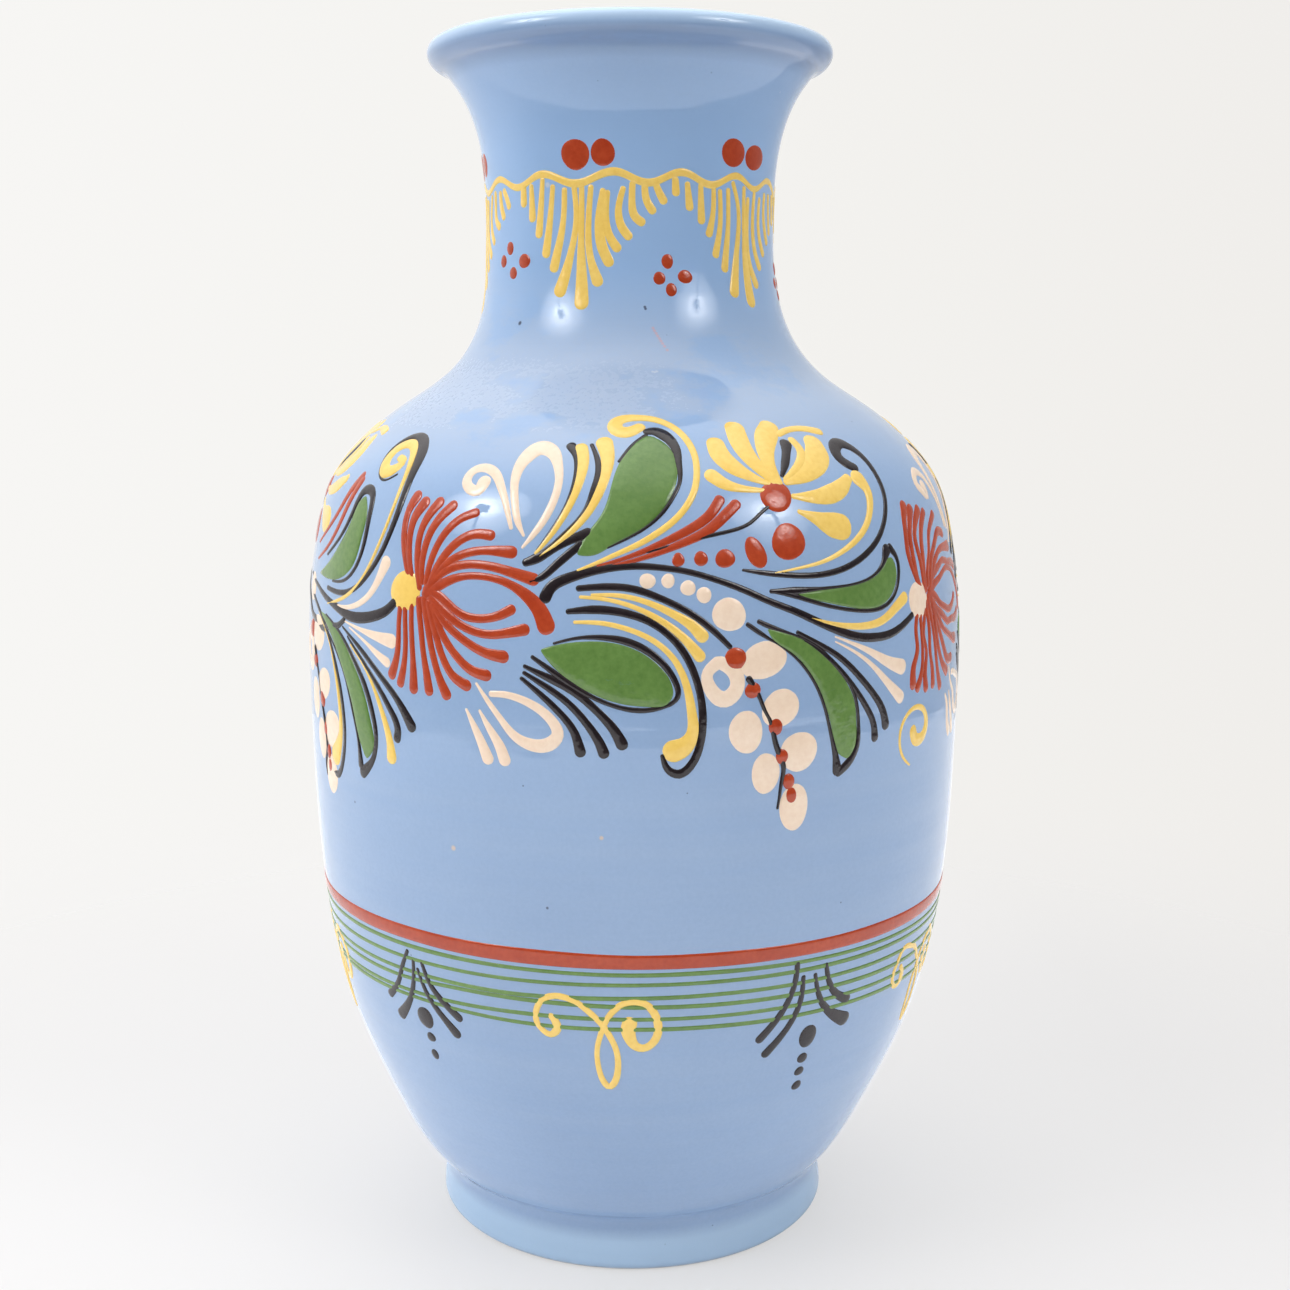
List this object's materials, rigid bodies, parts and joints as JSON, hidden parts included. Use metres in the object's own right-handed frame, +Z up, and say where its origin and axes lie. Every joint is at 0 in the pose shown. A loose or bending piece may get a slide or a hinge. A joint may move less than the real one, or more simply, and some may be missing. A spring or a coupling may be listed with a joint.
{
  "type": "slip-decorated pottery vase",
  "caption": "Free-standing glazed pottery vase with a round belly, narrow flaring neck, rolled rim, foot ring and raised slip flower ornament.",
  "frame": {"origin": "centre of the foot ring's underside, on the surface that the vase stands on", "axes": "+Z up along the vase's axis of turning, -Y towards the front of the ornament, +X to its right"},
  "size_m": [0.2018, 0.2024, 0.36],
  "materials": {
    "blue_glaze": "gloss",
    "rust_slip": "gloss",
    "green_slip": "gloss",
    "yellow_slip": "gloss",
    "cream_slip": "gloss",
    "black_slip": "gloss"
  },
  "bodies": {
    "root": {"foot_ring": "blue_glaze", "lower_bowl": "blue_glaze", "belly": "blue_glaze", "shoulder": "blue_glaze", "neck": "blue_glaze", "mouth": "blue_glaze", "rim_roll": "blue_glaze", "rust_band": "rust_slip", "green_line_1": "green_slip", "green_line_2": "green_slip", "green_line_3": "green_slip", "green_line_4": "green_slip", "green_line_5": "green_slip", "green_line_6": "green_slip", "neck_garland": "yellow_slip", "tassel_fan_1": "yellow_slip", "tassel_fan_2": "yellow_slip", "tassel_fan_3": "yellow_slip", "tassel_fan_4": "yellow_slip", "tassel_fan_5": "yellow_slip", "tassel_fan_6": "yellow_slip", "rust_flower_1": "rust_slip", "rust_flower_eye_1": "yellow_slip", "yellow_flower_1": "yellow_slip", "yellow_flower_eye_1": "rust_slip", "stem_1": "black_slip", "leaf_upper_1": "green_slip", "leaf_lower_1": "green_slip", "leaf_side_1": "green_slip", "leaf_long_1": "green_slip", "rust_flower_2": "rust_slip", "rust_flower_eye_2": "cream_slip", "yellow_flower_2": "yellow_slip", "yellow_flower_eye_2": "rust_slip", "stem_2": "black_slip", "leaf_upper_2": "green_slip", "leaf_lower_2": "green_slip", "leaf_side_2": "green_slip", "leaf_long_2": "green_slip", "rust_flower_3": "rust_slip", "rust_flower_eye_3": "yellow_slip", "yellow_flower_3": "yellow_slip", "yellow_flower_eye_3": "rust_slip", "stem_3": "black_slip", "leaf_upper_3": "green_slip", "leaf_lower_3": "green_slip", "leaf_side_3": "green_slip", "leaf_long_3": "green_slip", "rust_flower_4": "rust_slip", "rust_flower_eye_4": "cream_slip", "yellow_flower_4": "yellow_slip", "yellow_flower_eye_4": "rust_slip", "stem_4": "black_slip", "leaf_upper_4": "green_slip", "leaf_lower_4": "green_slip", "leaf_side_4": "green_slip", "leaf_long_4": "green_slip"}
  },
  "joints": []
}
